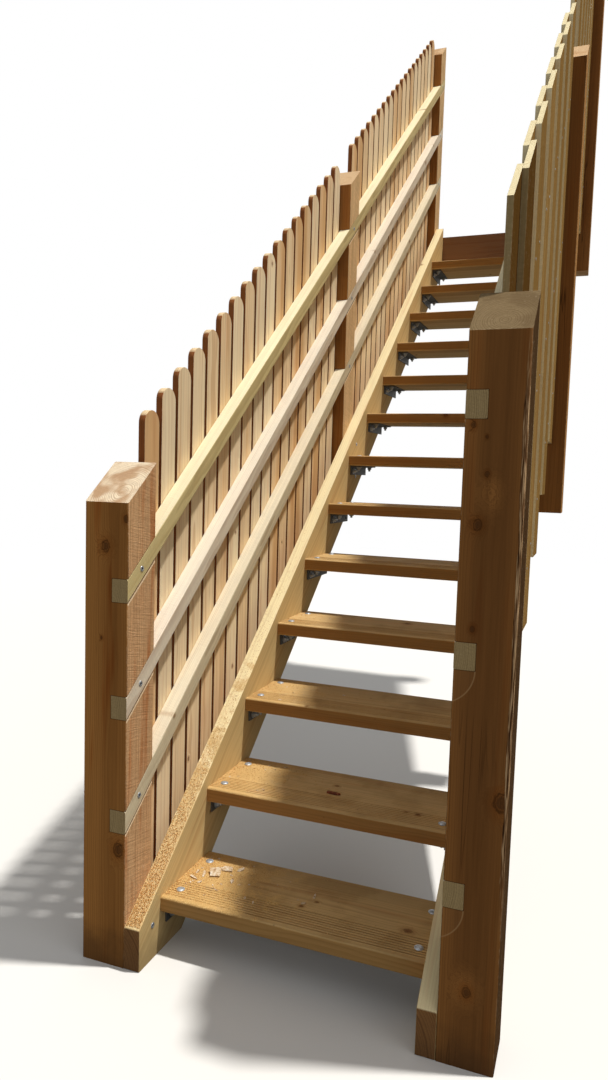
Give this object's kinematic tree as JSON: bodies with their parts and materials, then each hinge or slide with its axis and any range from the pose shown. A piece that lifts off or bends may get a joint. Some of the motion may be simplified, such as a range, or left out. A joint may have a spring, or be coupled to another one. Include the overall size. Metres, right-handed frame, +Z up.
{
  "type": "wooden deck stairs",
  "caption": "Straight open-riser timber stairs to a deck, with a round-topped picket balustrade on one side and a taller lapped paling screen on the other.",
  "frame": {"origin": "centre of the head board's back face, where the flight is bolted to the edge of a deck", "axes": "+Y the way the stairs climb, +Z up, +X to the right going up"},
  "size_m": [1.045, 3.47, 4.4336],
  "materials": {
    "treated_pine": "matte",
    "cypress_posts": "matte",
    "rail_pine": "matte",
    "picket_timber": "matte",
    "paling_pine": "matte",
    "dark_hardwood": "matte",
    "galvanised_steel": "satin"
  },
  "bodies": {
    "root": {"tread_01": "treated_pine", "tread_02": "treated_pine", "tread_03": "treated_pine", "tread_04": "treated_pine", "tread_05": "treated_pine", "tread_06": "treated_pine", "tread_07": "treated_pine", "tread_08": "treated_pine", "tread_09": "treated_pine", "tread_10": "treated_pine", "tread_11": "treated_pine", "tread_12": "treated_pine", "tread_13": "treated_pine", "string_left": "treated_pine", "string_right": "treated_pine", "head_board": "dark_hardwood", "newel_left": "cypress_posts", "newel_right": "cypress_posts", "mid_post_left": "cypress_posts", "mid_post_right": "cypress_posts", "top_post_left": "cypress_posts", "top_post_right": "cypress_posts", "rail_left_bottom": "rail_pine", "rail_left_mid": "rail_pine", "rail_left_top": "rail_pine", "rail_right_bottom": "rail_pine", "rail_right_mid": "rail_pine", "rail_right_top": "rail_pine", "pickets_left_lower": "picket_timber", "pickets_left_upper": "picket_timber", "inner_palings_lower": "paling_pine", "inner_palings_upper": "paling_pine", "outer_palings_lower": "paling_pine", "outer_palings_upper": "paling_pine", "tread_angles_left": "galvanised_steel", "tread_angles_right": "galvanised_steel"}
  },
  "joints": []
}
